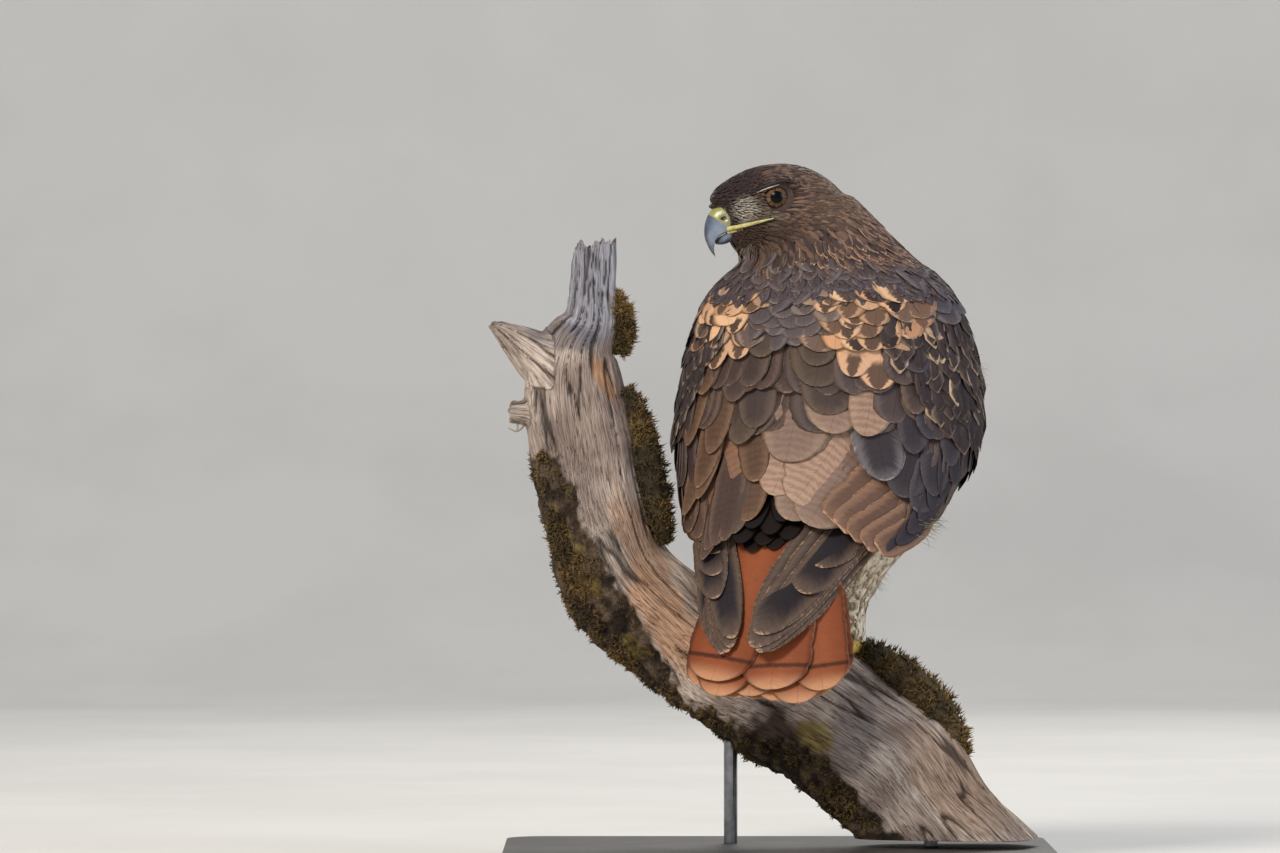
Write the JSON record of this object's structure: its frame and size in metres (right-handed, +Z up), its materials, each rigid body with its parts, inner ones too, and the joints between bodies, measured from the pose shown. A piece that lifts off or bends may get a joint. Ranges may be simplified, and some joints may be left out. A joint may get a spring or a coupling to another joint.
{
  "type": "red-tailed hawk on a dead branch, still model with display stand",
  "caption": "Life-size red-tailed hawk with folded wings looking over its shoulder, gripping a cut dead branch held by rods on a flat base.",
  "frame": {"origin": "centre of the stand base's underside", "axes": "+Z up, -Y towards the viewer, who sees the hawk's back, +X to the viewer's right, the way the branch runs down"},
  "size_m": [0.4121, 0.2453, 0.5148],
  "materials": {
    "plumage_back": "soft dark brown feathers with pale edges and buff patches",
    "plumage_head": "fine dark brown feathers with tawny streaks",
    "plumage_breast": "soft buff white feathers with brown streaks",
    "plumage_leg": "soft pale buff feathers",
    "plumage_tail": "brick red feathers with a thin dark band and pale tips",
    "bill": "smooth blue grey horn with a yellow green cere",
    "eye": "clear polished brown",
    "foot": "scaled yellow skin",
    "claw": "smooth black horn",
    "dead_wood": "weathered grey bare wood and rough bark",
    "moss": "dry olive brown moss",
    "stand_board": "dark grey satin paint over board",
    "stand_steel": "satin"
  },
  "bodies": {
    "root": {"wing_left": "plumage_back", "wing_right": "plumage_back", "head": "plumage_head", "neck": "plumage_head", "torso": "plumage_breast", "leg_left": "plumage_leg", "leg_right": "plumage_leg", "tail": "plumage_tail", "bill_upper": "bill", "bill_lower": "bill", "eye_left": "eye", "eye_right": "eye", "foot_left": "foot", "foot_right": "foot", "claw_left_inner": "claw", "claw_left_middle": "claw", "claw_left_outer": "claw", "claw_left_hind": "claw", "claw_right_inner": "claw", "claw_right_middle": "claw", "claw_right_outer": "claw", "claw_right_hind": "claw", "perch_lower": "dead_wood", "perch_bend": "dead_wood", "perch_trunk_low": "dead_wood", "perch_trunk_high": "dead_wood", "perch_snag": "dead_wood", "perch_spur": "dead_wood", "perch_stub": "dead_wood", "perch_moss_trunk": "moss", "perch_moss_snag": "moss", "perch_moss_lower": "moss", "perch_moss_bark": "moss", "stand_base": "stand_board", "stand_rod_left": "stand_steel", "stand_rod_right": "stand_steel"}
  },
  "joints": []
}
